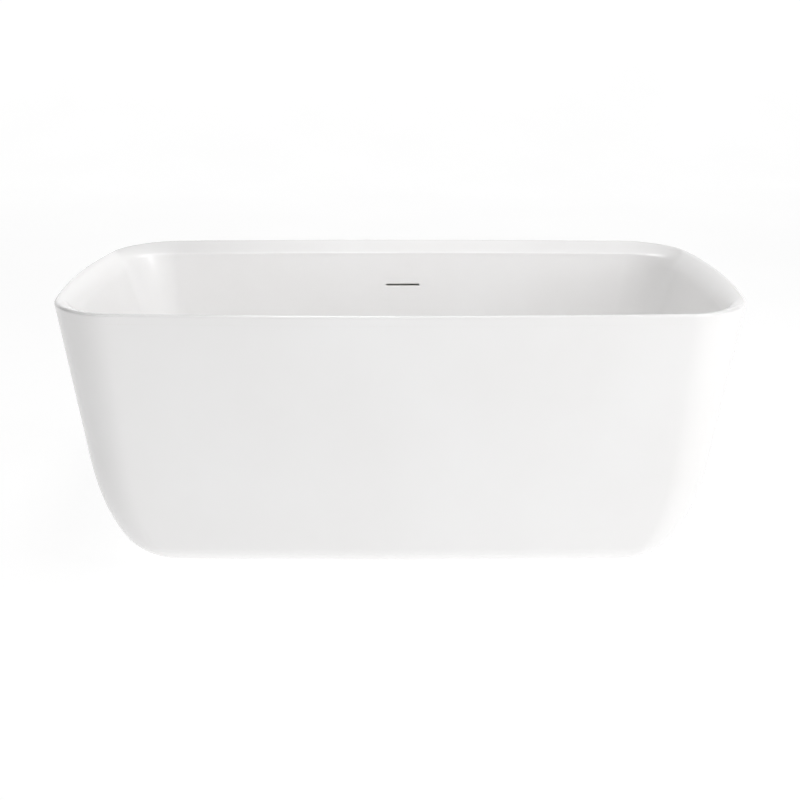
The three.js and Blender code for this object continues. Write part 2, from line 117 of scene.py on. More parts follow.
def make_materials():
    out = {}
    # cast acrylic: faint long-wave mottling, thermoforming ripple and fine orange peel under a clear gloss
    a = Mat("white_acrylic", (0.950, 0.946, 0.944), (0.962, 0.960, 0.959), rough=(0.15, 0.22), scale=3.5, detail=5.0)
    a.bump(a.noise(9.0, 1.0).outputs["Fac"], 0.06, 0.0012)
    a.bump(a.noise(420.0, 1.5).outputs["Fac"], 0.05, 0.00008)
    a.bsdf.inputs["IOR"].default_value = 1.49
    a.bsdf.inputs["Coat Weight"].default_value = 0.25
    a.bsdf.inputs["Coat Roughness"].default_value = 0.06
    out["acrylic"] = a.m
    # chopped-strand glass fibre wetted with resin
    g = Mat("glass_fibre_backing", (0.70, 0.66, 0.52), (0.86, 0.83, 0.70), rough=(0.35, 0.75), scale=26.0, detail=6.0)
    v = g.voronoi(95.0)
    w = g.nt.nodes.new("ShaderNodeTexWave")
    w.inputs["Scale"].default_value = 55.0
    w.inputs["Distortion"].default_value = 22.0
    w.inputs["Detail"].default_value = 3.0
    w.inputs["Detail Scale"].default_value = 2.2
    g.nt.links.new(g.map.outputs["Vector"], w.inputs["Vector"])
    g.tint(g.ramp_of(w.outputs["Fac"], 0.72, 0.98), (0.95, 0.94, 0.86), 0.55)
    g.tint(g.ramp_of(g.noise(7.0, 2.0).outputs["Fac"], 0.55, 0.8), (0.62, 0.55, 0.36), 0.45)
    g.bump(w.outputs["Fac"], 0.5, 0.0006)
    g.bump(v.outputs["Distance"], 0.35, 0.001)
    out["fibre"] = g.m
    s = Mat("galvanised_steel", (0.60, 0.62, 0.63), (0.74, 0.75, 0.76), rough=(0.34, 0.55), scale=60.0, metal=0.92)
    sv = s.voronoi(85.0)
    s.tint(s.ramp_of(sv.outputs["Color"], 0.2, 0.9), (0.83, 0.84, 0.85), 0.45)
    s.tint(s.ramp_of(s.noise(14.0, 6.0).outputs["Fac"], 0.58, 0.78), (0.52, 0.51, 0.49), 0.35)
    s.bump(sv.outputs["Distance"], 0.12, 0.0003)
    s.bump(s.noise(500.0, 2.0).outputs["Fac"], 0.1, 0.0001)
    out["steel"] = s.m
    z = Mat("zinc_plate", (0.70, 0.70, 0.68), (0.82, 0.82, 0.80), rough=(0.22, 0.38), scale=90.0, metal=1.0)
    z.tint(z.ramp_of(z.noise(35.0, 4.0).outputs["Fac"], 0.55, 0.75), (0.78, 0.74, 0.62), 0.4)
    z.bump(z.noise(900.0, 2.0).outputs["Fac"], 0.12, 0.00006)
    out["zinc"] = z.m
    c = Mat("polished_chrome", (0.84, 0.85, 0.86), (0.90, 0.91, 0.92), rough=(0.035, 0.09), scale=30.0, metal=1.0)
    c.bump(c.noise(260.0, 2.0).outputs["Fac"], 0.03, 0.00005)
    out["chrome"] = c.m
    r = Mat("black_rubber", (0.075, 0.075, 0.078), (0.13, 0.13, 0.13), rough=(0.62, 0.85), scale=120.0)
    r.bump(r.noise(1400.0, 3.0).outputs["Fac"], 0.35, 0.0001)
    out["rubber"] = r.m
    f = Mat("glass_filled_nylon", (0.10, 0.10, 0.105), (0.17, 0.17, 0.175), rough=(0.42, 0.6), scale=80.0)
    f.bump(f.noise(1100.0, 2.0).outputs["Fac"], 0.22, 0.00012)
    out["foot"] = f.m
    p = Mat("white_polypropylene", (0.86, 0.86, 0.83), (0.92, 0.92, 0.90), rough=(0.34, 0.48), scale=40.0)
    p.bump(p.noise(800.0, 2.0).outputs["Fac"], 0.16, 0.00008)
    p.bsdf.inputs["Subsurface Weight"].default_value = 0.05
    p.bsdf.inputs["Subsurface Radius"].default_value = (0.004, 0.004, 0.004)
    out["white_plastic"] = p.m
    q = Mat("grey_polypropylene", (0.47, 0.48, 0.49), (0.57, 0.58, 0.59), rough=(0.36, 0.52), scale=40.0)
    q.bump(q.noise(800.0, 2.0).outputs["Fac"], 0.2, 0.00008)
    out["grey_plastic"] = q.m
    b = Mat("birch_board", (0.60, 0.44, 0.27), (0.76, 0.60, 0.41), rough=(0.6, 0.82), scale=9.0, detail=9.0, stretch=(1.0, 14.0, 3.0))
    b.tint(b.ramp_of(b.noise(30.0, 8.0).outputs["Fac"], 0.55, 0.75), (0.42, 0.28, 0.15), 0.5)
    b.bump(b.noise(60.0, 8.0).outputs["Fac"], 0.3, 0.0005)
    out["board"] = b.m
    e = Mat("bond_resin", (0.72, 0.68, 0.52), (0.86, 0.83, 0.70), rough=(0.25, 0.6), scale=45.0, detail=6.0)
    e.bump(e.noise(120.0, 4.0).outputs["Fac"], 0.6, 0.0012)
    out["resin"] = e.m
    fl = Mat("studio_floor", (0.53, 0.53, 0.53), (0.56, 0.56, 0.56), rough=(0.85, 0.95), scale=1.2)
    fl.bump(fl.noise(40.0, 3.0).outputs["Fac"], 0.05, 0.0005)
    fl.bsdf.inputs["Specular IOR Level"].default_value = 0.1
    fl.bsdf.inputs["Emission Color"].default_value = (1, 1, 1, 1)
    fl.bsdf.inputs["Emission Strength"].default_value = 0.865
    out["floor"] = fl.m
    return out
MATS = make_materials()

# ------------------------------------------------------------------ mesh helpers
def mesh_obj(name, verts, faces, mats, index=None, scale=MM):
    me = bpy.data.meshes.new(name)
    me.from_pydata([(x * scale, y * scale, z * scale) for x, y, z in verts], [], faces)
    for m in mats:
        me.materials.append(m)
    if index:
        for poly, i in zip(me.polygons, index):
            poly.material_index = i
    for poly in me.polygons:
        poly.use_smooth = True
    me.update()
    ob = bpy.data.objects.new(name, me)
    sc.collection.objects.link(ob)
    return ob

def face_out(ob):
    import bmesh
    bm = bmesh.new()
    bm.from_mesh(ob.data)
    bmesh.ops.recalc_face_normals(bm, faces=bm.faces)
    if bm.calc_volume(signed=True) < 0:
        bmesh.ops.reverse_faces(bm, faces=bm.faces)
    bm.to_mesh(ob.data)
    bm.free()

def sharpen(ob, degrees):
    """Keeps creases above this angle crisp under smooth shading."""
    import bmesh
    bm = bmesh.new()
    bm.from_mesh(ob.data)
    for e in bm.edges:
        e.smooth = not (len(e.link_faces) == 2 and e.calc_face_angle(0.0) > R(degrees))
    bm.to_mesh(ob.data)
    bm.free()

def grid(name, rings, mats, index=None, closed=True, crease=35):
    m, n = len(rings), len(rings[0])
    verts = [p for r in rings for p in r]
    faces, idx = [], []
    for i in range(m if closed else m - 1):
        k = (i + 1) % m
        for j in range(n):
            l = (j + 1) % n
            faces.append((i * n + j, i * n + l, k * n + l, k * n + j))
            idx.append(index[i] if index else 0)
    ob = mesh_obj(name, verts, faces, mats, idx)
    face_out(ob)
    sharpen(ob, crease)
    return ob

def piece(ob, body, slot, *nodes):
    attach(ob, body)
    if nodes:
        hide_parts(*nodes)
    return ob

def lathe(name, loop, mats, x=0.0, y=0.0, seg=72, crease=35):
    return grid(name, [[(x + r * math.cos(2 * math.pi * i / seg), y + r * math.sin(2 * math.pi * i / seg), z) for i in range(seg)] for r, z in loop], mats, crease=crease)

def arc(cx, cz, r, a0, a1, n):
    return [(cx + r * math.cos(R(a0 + (a1 - a0) * i / n)), cz + r * math.sin(R(a0 + (a1 - a0) * i / n))) for i in range(n + 1)]

# ------------------------------------------------------------------ tub outline, the same form as the CAD
LENGTH, WIDTH, HEIGHT = 1500.0, 750.0, 580.0
END_TAPER, SIDE_TAPER = 7.81, 0.6
END_FOOT, SIDE_FOOT = (128.0, 242.0, 2.25), (80.0, 56.0, 2.2)
SHELL, SEAM_Z, LEDGE_Z, FLOOR_Z, RECESS_Z, HOLE = 6.0, 560.0, 536.0, 130.0, 122.0, 26.0
SKIRT_CLEAR = 5.0
END_WALL = [(712, 536), (676, 400), (604, 130), (440, 130)]
SIDE_WALL = [(313, 536), (299, 400), (284, 130), (195, 130)]
N_END, N_CORNER, N_SIDE = 12, 26, 30
NQ = N_END + N_CORNER + N_SIDE
N = 4 * NQ
lerp = lambda a, b, t: a + (b - a) * t

def ring(a, b, Rc, by, bx, z):
    q = [(a, (b - Rc) * i / N_END) for i in range(N_END)]
    q += [(a - Rc + Rc * math.cos(R(90 * i / N_CORNER)), b - Rc + Rc * math.sin(R(90 * i / N_CORNER))) for i in range(N_CORNER)]
    q += [((a - Rc) * (1 - i / N_SIDE), b) for i in range(N_SIDE)] + [(0.0, b)]
    def bow(x, y):
        return (x - bx * (y / b) ** 2 * (x / a), y - by * (x / a) ** 2 * (y / b), z)
    return ([bow(x, y) for x, y in q[:NQ]] + [bow(-x, y) for x, y in q[NQ:0:-1]]
            + [bow(-x, -y) for x, y in q[:NQ]] + [bow(x, -y) for x, y in q[NQ:0:-1]])

_c = [-30 * (N_END - i) / N_END for i in range(N_END)] + [90 * i / N_CORNER for i in range(N_CORNER)] + [90.0] * (N_SIDE + 1)
_corner = _c[:NQ] + _c[NQ:0:-1] + _c[:NQ] + _c[NQ:0:-1]
def _smooth(t):
    t = min(1.0, max(0.0, t))
    return t * t * (3 - 2 * t)
LEDGE = [_smooth((c + 9) / 95) for c in _corner]
def mixed(A, B):
    return [tuple(lerp(b, a, w) for a, b in zip(p, q)) for p, q, w in zip(A, B, LEDGE)]
def circle(r, z):
    return [(r * math.cos(2 * math.pi * i / N), r * math.sin(2 * math.pi * i / N), z) for i in range(N)]

def half(z, top, taper, foot):
    rx, rz, n = foot
    tt = math.tan(R(taper))
    if z >= rz:
        return top - tt * (HEIGHT - z)
    xc = top - tt * (HEIGHT - rz) - rx
    e = max(0.0, 1 - ((rz - z) / rz) ** n) ** (1 / n)
    return xc + rx * e + tt * (z - rz)
def outline(z, inset=0.0, zout=None):
    t = z / HEIGHT
    return ring(half(z, LENGTH / 2, END_TAPER, END_FOOT) - inset, half(z, WIDTH / 2, SIDE_TAPER, SIDE_FOOT) - inset,
                lerp(87, 125, t) - inset, lerp(7.6, 20.5, t), lerp(27.7, 44.1, t), z if zout is None else zout)
def bez(P, t, k):
    return (1 - t) ** 3 * P[0][k] + 3 * (1 - t) ** 2 * t * P[1][k] + 3 * (1 - t) * t * t * P[2][k] + t ** 3 * P[3][k]
def corner_radius(z):
    return lerp(80, 97, (z - 400) / 136) if z > 400 else lerp(80, 140, ((400 - z) / 270) ** 2)
def bowl(t):
    z = bez(END_WALL, t, 1)
    u = (z - FLOOR_Z) / (LEDGE_Z - FLOOR_Z)
    return ring(bez(END_WALL, t, 0), bez(SIDE_WALL, t, 0), corner_radius(z), lerp(6, 17, u), lerp(10, 33, u), z)
def offset(rings, d, i0, i1, sign):
    out, n = [], len(rings[0])
    for m in range(i0, i1 + 1):
        row = []
        for j in range(n):
            u = Vector(rings[m][(j + 1) % n]) - Vector(rings[m][(j - 1) % n])
            v = Vector(rings[min(m + 1, len(rings) - 1)][j]) - Vector(rings[max(m - 1, 0)][j])
            w = u.cross(v).normalized() * (d * sign)
            row.append(tuple(Vector(rings[m][j]) + w))
        out.append(row)
    return out

# ------------------------------------------------------------------ inner basin
def build_basin():
    def dims(da, db, z):
        t = db / 62
        return ring(750 - da, 375 - db, 125 - 28 * t * t, 20.5 - 3.5 * t, 44.1 - 11.1 * t, z)
    def narrow(d):
        return d if d < 8 else 8 + (d - 8) * 30 / 54
    rr = 5.5
    base = [outline(z) for z in (560.0, 562.0, 567.0, 572.0, 574.5)]
    outer = half(574.5, 750, END_TAPER, END_FOOT), half(574.5, 375, SIDE_TAPER, SIDE_FOOT)
    lip = []
    for i in range(1, 11):
        w = R(90 * i / 10)
        lip.append(outline(574.5, rr * (1 - math.cos(w)), 574.5 + rr * math.sin(w)))
    # crisp long-side section and soft end section, sample for sample
    crisp, soft = [], []
    n1, n2, n3 = 16, 8, 10
    for i in range(1, 4):
        w = R(23.3 * i / 3)
        crisp.append((5.5 + rr * math.sin(w), 574.5 + rr * math.cos(w)))
    d0, z0 = crisp[-1]
    d1, z1 = 58.0 + 3 * math.sin(R(23.3)), 555.2 + 3 * math.cos(R(23.3))
    for i in range(1, n1 + 1):
        t = i / n1
        crisp.append((lerp(d0, d1, t), lerp(z0, z1, t)))
    for i in range(1, n2 + 1):
        w = R(lerp(23.3, 90, i / n2))
        crisp.append((58.0 + 3 * math.sin(w), 555.2 + 3 * math.cos(w)))
    for i in range(1, n3 + 1):
        t = i / n3
        crisp.append((61.0 + t * t, lerp(555.2, 536.0, t)))
    total = len(crisp)
    for i in range(1, total + 1):
        t = i / total
        soft.append(((1 - t) ** 2 * 5.6 + 2 * (1 - t) * t * 22 + t * t * 38, (1 - t) ** 2 * 5.8 + 2 * (1 - t) * t * 48.6 + t * t * 62, (1 - t) ** 2 * 580 + 2 * (1 - t) * t * 576 + t * t * 536))
    shelf = [mixed(dims(narrow(d), d, z), dims(*e)) for (d, z), e in zip(crisp, soft)]
    wall = [bowl(i / 44) for i in range(1, 45)]
    edge, well = wall[-1], circle(38, 127)
    def floor_at(t):
        return [tuple(lerp(p, q, t) for p, q in zip(u, v)) for u, v in zip(edge, well)]
    floor = [floor_at(i / 14) for i in range(1, 15)]
    seat = [circle(37.4, 126.6), circle(36.9, 125.6), circle(36.6, 123.5), circle(36.1, 122.3), circle(35.0, RECESS_Z), circle(30, RECESS_Z), circle(HOLE, RECESS_Z)]
    top = base + lip + shelf + wall + floor + seat
    smooth = [shelf[-1]] + wall + floor[:-1]
    s = 1
    o = offset(smooth, 1, 2, 2, 1)[0][0]
    s = 1 if abs(o[0]) > abs(smooth[2][0][0]) else -1
    back = offset(smooth, SHELL, 1, len(smooth) - 2, s)
    under = [circle(HOLE, RECESS_Z - SHELL), circle(44, RECESS_Z - SHELL), circle(45.6, 117.5), circle(46.4, 121)]
    under += back[::-1][::2]
    under += [ring(718.4, 319, 103, 17, 33, 536),
              mixed(ring(723, 319.4, 108, 17.2, 34, 551.5), ring(729, 332.5, 110, 18, 36, 556.7)),
              mixed(ring(738, 364, 118, 20, 42, 570.8), ring(738, 364, 118, 20, 42, 572.6)),
              outline(568, SHELL), outline(560, SHELL)]
    rings = top + under
    index = [0] * (len(top) - 1) + [1] * (len(under) + 1)
    index[-1] = 0
    ob = grid("basin_shell", rings, [MATS["acrylic"], MATS["fibre"]], index, crease=38)
    # overflow slot with a softened mouth
    r, w, x, z = 2.6, 44 - 2.6, 7.0, 472.0
    def stadium(grow, y):
        pts = []
        for i in range(13):
            t = R(-90 + 180 * i / 12)
            pts.append((x + w + (r + grow) * math.cos(t), y, z + (r + grow) * math.sin(t)))
        for i in range(13):
            t = R(90 + 180 * i / 12)
            pts.append((x - w + (r + grow) * math.cos(t), y, z + (r + grow) * math.sin(t)))
        return pts
    yw = 313.0
    for k in range(200):
        if bez(SIDE_WALL, k / 400, 1) < z:
            yw = bez(SIDE_WALL, k / 400, 0)
            break
    rings2 = [stadium(1.6, yw - 20), stadium(1.5, yw - 1.0), stadium(0.45, yw + 0.35), stadium(0.0, yw + 1.3), stadium(0.0, yw + 20)]
    n = len(rings2[0])
    verts = [p for q in rings2 for p in q]
    faces = [(i * n + j, i * n + (j + 1) % n, (i + 1) * n + (j + 1) % n, (i + 1) * n + j) for i in range(4) for j in range(n)]
    faces += [tuple(range(n))[::-1], tuple(range(4 * n, 5 * n))]
    cut = mesh_obj("cutter", verts, faces, [MATS["acrylic"]])
    face_out(cut)
    bo = ob.modifiers.new("slot", "BOOLEAN")
    bo.operation, bo.solver, bo.object = "DIFFERENCE", "EXACT", cut
    dg = bpy.context.evaluated_depsgraph_get()
    me = bpy.data.meshes.new_from_object(ob.evaluated_get(dg))
    ob.modifiers.clear()
    ob.data = me
    bpy.data.objects.remove(cut, do_unlink=True)
    for poly in me.polygons:
        poly.use_smooth = True
    sharpen(ob, 38)
    return piece(ob, "tub", "white_acrylic", "inner_basin")

# ------------------------------------------------------------------ outer skirt
def build_skirt():
    zs = [559.96, 556, 545] + [lerp(530, 250, i / 14) for i in range(15)]
    K = 56
    zs += [SKIRT_CLEAR + 1.2 + (242 - SKIRT_CLEAR - 1.2) * ((K - i) / K) ** 2.0 for i in range(K + 1)]
    outer = [outline(z) for z in zs]
    lowest = zs[-1]
    def low(inset, z):
        a, b = half(lowest, 750, END_TAPER, END_FOOT), half(lowest, 375, SIDE_TAPER, SIDE_FOOT)
        t = lowest / HEIGHT
        return ring(a - inset, b - inset, lerp(87, 125, t) - inset * 0.8, lerp(7.6, 20.5, t), lerp(27.7, 44.1, t), z)
    rim = [low(1.6, 5.45), low(4.5, 5.05), low(12, 5.0), low(27, 5.0), low(30.5, 5.6), low(32, 7.5), low(31.4, 9.8), low(29.5, 11)]
    o = offset(outer, 1, 20, 20, 1)[0][0]
    s = 1 if abs(o[0]) < abs(outer[20][0][0]) else -1
    inner = offset(outer, SHELL, 1, len(outer) - 14, s)
    rings = outer + rim + inner[::-1][::2] + [outline(559.96, SHELL)]
    index = [0] * (len(outer) + len(rim) - 2) + [1] * (len(rings) - len(outer) - len(rim) + 2)
    ob = grid("skirt_shell", rings, [MATS["acrylic"], MATS["fibre"]], index, crease=38)
    return piece(ob, "tub", "white_acrylic", "outer_skirt")

build_basin()
build_skirt()

# ------------------------------------------------------------------ fine pieces
SEG = 96
def turn(i, seg=SEG):
    return 2 * math.pi * i / seg

def polar(rz, x=0.0, y=0.0, seg=SEG):
    """A ring whose radius may change around the turn."""
    r, z = rz
    out = []
    for i in range(seg):
        t = turn(i, seg)
        rr, zz = (r(t) if callable(r) else r), (z(t) if callable(z) else z)
        out.append((x + rr * math.cos(t), y + rr * math.sin(t), zz))
    return out

def along_y(rings, x, z0):
    """Turns rings made about Z to lie about a line along +Y."""
    return [[(x + px, pz, z0 + py) for px, py, pz in r] for r in rings]

def strip(rings, closed=True, mat=0):
    n = len(rings[0])
    verts = [p for r in rings for p in r]
    m = len(rings)
    faces = [(i * n + j, i * n + (j + 1) % n, ((i + 1) % m) * n + (j + 1) % n, ((i + 1) % m) * n + j)
             for i in range(m if closed else m - 1) for j in range(n)]
    if not closed:
        faces += [tuple(range(n)), tuple(range((m - 1) * n, m * n))[::-1]]
    return verts, faces, mat

def chamfer_box(x0, x1, y0, y1, z0, z1, c=0.5, spin=0.0, cx=0.0, cy=0.0, mat=0):
    """A block with chamfered edges, turned about the line (cx, cy)."""
    import bmesh
    bm = bmesh.new()
    X, Y, Z = ((x0 + x1) / 2, (x1 - x0) / 2), ((y0 + y1) / 2, (y1 - y0) / 2), ((z0 + z1) / 2, (z1 - z0) / 2)
    for sx in (-1, 1):
        for sy in (-1, 1):
            for sz in (-1, 1):
                for k in range(3):
                    h = [X[1], Y[1], Z[1]]
                    for a in range(3):
                        if a != k:
                            h[a] -= c
                    bm.verts.new((X[0] + sx * h[0], Y[0] + sy * h[1], Z[0] + sz * h[2]))
    bmesh.ops.convex_hull(bm, input=bm.verts)
    bm.verts.ensure_lookup_table()
    ca, sa = math.cos(R(spin)), math.sin(R(spin))
    verts = [(cx + v.co.x * ca - v.co.y * sa, cy + v.co.x * sa + v.co.y * ca, v.co.z) for v in bm.verts]
    bm.verts.index_update()
    faces = [tuple(v.index for v in f.verts) for f in bm.faces]
    bm.free()
    return verts, faces, mat

def islands(name, parts, mats, crease=35):
    verts, faces, idx = [], [], []
    for v, f, i in parts:
        k = len(verts)
        verts += v
        faces += [tuple(a + k for a in q) for q in f]
        idx += [i] * len(f)
    ob = mesh_obj(name, verts, faces, mats, idx)
    face_out(ob)
    sharpen(ob, crease)
    return ob

def spline(pts, per=6):
    """Rounds a profile through its points."""
    out = []
    for i in range(len(pts) - 1):
        p0, p1, p2, p3 = pts[max(i - 1, 0)], pts[i], pts[i + 1], pts[min(i + 2, len(pts) - 1)]
        for k in range(per):
            t = k / per
            out.append(tuple(0.5 * (2 * b + (c - a) * t + (2 * a - 5 * b + 4 * c - d) * t * t + (3 * b - a - 3 * c + d) * t ** 3)
                             for a, b, c, d in zip(p0, p1, p2, p3)))
    return out + [pts[-1]]

def thread(r, depth, pitch, z0, z1, per=6, inward=False):
    """Rings of a single-start screw thread, fading out at both ends."""
    n = int((z1 - z0) / pitch * per)
    rings = []
    for k in range(n + 1):
        z = lerp(z0, z1, k / n)
        fade = min(1.0, (z - z0) / pitch, (z1 - z) / pitch)
        def rad(t, z=z, fade=fade):
            ph = (z / pitch - t / (2 * math.pi)) % 1.0
            h = 1 - min(1.0, abs(ph - 0.5) * 2.6)
            return r + (depth * (1 - h) if inward else -depth * (1 - h)) * fade - (0 if inward else depth * (1 - fade))
        rings.append((rad, z))
    return rings

def hexagon(rc, turned=0.0):
    a = rc * math.cos(R(30))
    return lambda t: a / math.cos((t - R(turned)) % R(60) - R(30))

def hex_loop(rc, z0, z1, bore, turned=0.0):
    """Closed profile of a chamfered hexagon nut."""
    h, rin = hexagon(rc, turned), rc * math.cos(R(30)) * 0.985
    k = 0.5
    return [(bore, z0 + 0.7), (bore + 0.7, z0), (rin, z0), (h, lambda t: z0 + (h(t) - rin) * k), (h, lambda t: z1 - (h(t) - rin) * k),
            (rin, z1), (bore + 0.7, z1), (bore, z1 - 0.7)]

# waste flange: dished ring with a threaded barrel, a hub and three arms
flange = [polar(p) for p in spline([(23.4, 124.6), (30, 124.55), (35.4, 124.6), (36.2, 125.3), (35.6, 126.3), (33.5, 127.0), (30, 127.15), (26.5, 126.8), (23.6, 125.7), (21.4, 124.2), (20.5, 122.6)], 4)]
flange += [polar(p) for p in ((20.5, 74.6), (20.9, 74.0), (22.6, 74.0), (23.0, 74.5))]
flange += [polar(p) for p in thread(23.9, 0.75, 2.3, 75.0, 119.5)]
flange += [polar((23.2, 120.5)), polar((23.2, 124.3))]
hub = [polar(p, seg=48) for p in ((9.6, 84.5), (10.1, 84.0), (11.7, 84.0), (12.2, 84.5), (12.2, 92.5), (11.7, 93.0), (10.1, 93.0), (9.6, 92.5))]
arms = [chamfer_box(11.2, 21.2, -1.6, 1.6, 84, 92, 0.45, 30 + 120 * k) for k in range(3)]
piece(islands("waste_flange_ring", [strip(flange), strip(hub)] + arms, [MATS["chrome"]]), "tub", "chrome", "waste_flange")

# stopper cap: domed head with a turned groove over a long stem
dome = [(0.25, 86.0), (4.2, 86.0), (4.8, 86.5), (5.0, 87.4), (5.0, 121.4), (5.3, 122.3), (6.4, 123.2), (7.6, 123.8), (8.0, 124.6), (8.0, 127.5), (8.4, 127.85), (20, 128.0), (30.6, 128.1)]
dome += spline([(30.6, 128.1), (32.0, 128.25), (32.65, 128.9), (32.4, 129.8), (31.2, 130.7), (28.9, 131.55)], 5)[1:]
dome += [(28.4, 131.55), (28.0, 131.65), (27.7, 132.0)]
dome += spline([(27.4, 132.25), (22, 133.3), (16, 134.05), (9, 134.55), (3, 134.78), (0.25, 134.8)], 6)
piece(islands("stopper_cap_domed", [strip([polar(p) for p in dome], closed=False)], [MATS["chrome"]], 30), "stopper", "chrome", "waste_stopper_cap")
seal = spline([(8.4, 124.9), (14, 124.85), (19.4, 124.9), (21.0, 125.1), (21.9, 125.7), (22.05, 126.5), (21.5, 127.15), (20.0, 127.5), (14, 127.52), (8.4, 127.5)], 4)
piece(islands("stopper_seal_ring", [strip([polar(p) for p in seal])], [MATS["rubber"]]), "stopper", "black_rubber", "waste_stopper_seal")
latch = [(5.6, 81.4), (6.0, 81), (8.6, 81), (9, 81.4), (9, 86), (8.5, 86.4), (8.5, 87.4), (9, 87.8), (9, 94.9), (10.3, 95.1), (10.6, 95.5), (10.6, 97.8), (7.8, 99.3), (7.6, 99.8), (7.6, 106.6), (7.2, 107), (6.0, 107), (5.6, 106.6)]
piece(islands("latch_barrel", [strip([polar(p, seg=64) for p in latch])], [MATS["white_plastic"]]), "tub", "white_plastic", "waste_latch")

def join_solid(ob, cutters):
    for op, c in cutters:
        mo = ob.modifiers.new("b", "BOOLEAN")
        mo.operation, mo.solver, mo.object = op, "EXACT", c
    me = bpy.data.meshes.new_from_object(ob.evaluated_get(bpy.context.evaluated_depsgraph_get()))
    ob.modifiers.clear()
    ob.data = me
    for _, c in cutters:
        bpy.data.objects.remove(c, do_unlink=True)
    for poly in me.polygons:
        poly.use_smooth = True
    sharpen(ob, 32)
    return ob

# waste shoe: cup with a flange, gussets and a side boss
cup = [polar(p) for p in ((24.2, 112.2), (24.6, 112.6), (39.4, 112.6), (40, 112.0), (40, 108.1), (39.4, 107.5), (31.0, 107.5), (29.6, 107.0), (29.0, 105.6),
                          (29, 54.0), (28.2, 53.0), (25, 53.0), (24.3, 52.4), (24, 51.5), (24, 40.3), (23.2, 39.5), (21.2, 39.5), (20.7, 40.0),
                          (20.7, 49.6), (20.2, 50), (17.9, 50), (17.5, 50.4), (17.5, 52.0), (18.0, 52.5), (23.7, 52.5), (24.2, 53.0))]
shoe = islands("waste_shoe_body", [strip(cup)], [MATS["grey_plastic"]])
boss = islands("boss", [strip(along_y([polar(p, seg=64) for p in ((0.3, 23.5), (15.5, 23.5), (15.5, 31.0), (15.0, 31.5), (0.3, 31.5))], 0, 64), closed=False)], [MATS["grey_plastic"]])
inside = islands("inside", [strip([polar(p) for p in ((0.3, 52.5), (24.2, 52.5), (24.2, 113.5), (0.3, 113.5))], closed=False)], [MATS["grey_plastic"]])
port = islands("port", [strip(along_y([polar(p, seg=64) for p in ((0.3, 20.9), (12.7, 20.9), (12.7, 31.0), (13.3, 32.2), (0.3, 32.2))], 0, 64), closed=False)], [MATS["grey_plastic"]])
piece(join_solid(shoe, [("UNION", boss), ("DIFFERENCE", inside), ("DIFFERENCE", port)]), "tub", "grey_plastic", "waste_shoe")
webs = [chamfer_box(28.7, 38.0, -1.1, 1.1, 100.5, 107.7, 0.4, 15 + 30 * k) for k in range(12)]
webs += [chamfer_box(28.6, 33.0, -1.1, 1.1, 92.5, 101.0, 0.4, 15 + 30 * k) for k in range(12)]
piece(islands("waste_shoe_webs", webs, [MATS["grey_plastic"]]), "tub", "grey_plastic")

inlet = [(10, 26.0), (10.5, 25.5), (11.6, 25.5)] + thread(12.4, 0.6, 1.8, 25.9, 31.8) + [(12.2, 31.8)]
hx = hexagon(16.4, 30)
inlet += [(14.0, 31.8), (hx, 32.3), (hx, 37.3), (14.0, 37.8), (12.9, 38.1), (12.4, 38.8)]
for k in range(3):
    inlet += [(12.2, 44 + 9 * k), (12.2, 50 + 9 * k), (12.8, 50.6 + 9 * k), (12.2, 53 + 9 * k)]
inlet += [(11.9, 71.4), (11.4, 72.0), (10.4, 72.0), (10, 71.6)]
piece(islands("side_inlet_spigot", [strip(along_y([polar(p) for p in inlet], 0, 64))], [MATS["grey_plastic"]]), "tub", "grey_plastic", "waste_side_inlet")

tail = [(17, 7.6), (17.5, 7.0), (19.2, 7.0), (19.7, 7.3), (20, 8.0), (20, 30.0), (20, 48.6), (19.5, 49.3), (17.6, 49.4), (17, 49.0)]
piece(islands("tailpiece_tube", [strip([polar(p) for p in tail])], [MATS["white_plastic"]]), "tub", "white_plastic", "waste_tailpiece")
def grip(base):
    return lambda t: base + 2.0 * max(0.0, min(1.0, (math.cos(6 * t) - 0.55) / 0.28))
def knurl(base):
    return lambda t: grip(base)(t) - 0.35 * (0.5 + 0.5 * math.cos(48 * t))
NS = 288
nut = [polar(p, seg=NS) for p in ((20.7, 31.5), (21.2, 31.0), (28.6, 31.0), (knurl(29.6), 31.6), (knurl(30.6), 32.6), (knurl(31.0), 33.4), (knurl(31.0), 45.2), (knurl(30.7), 46.2),
                                  (30.4, 47.0), (29.8, 47.5), (25.2, 47.5), (24.6, 46.9), (24.6, 36.4), (24.2, 36.0), (21.2, 36.0), (20.7, 35.6))]
piece(islands("tailpiece_nut_gripped", [strip(nut)], [MATS["grey_plastic"]]), "tub", "grey_plastic", "waste_tailpiece_nut")

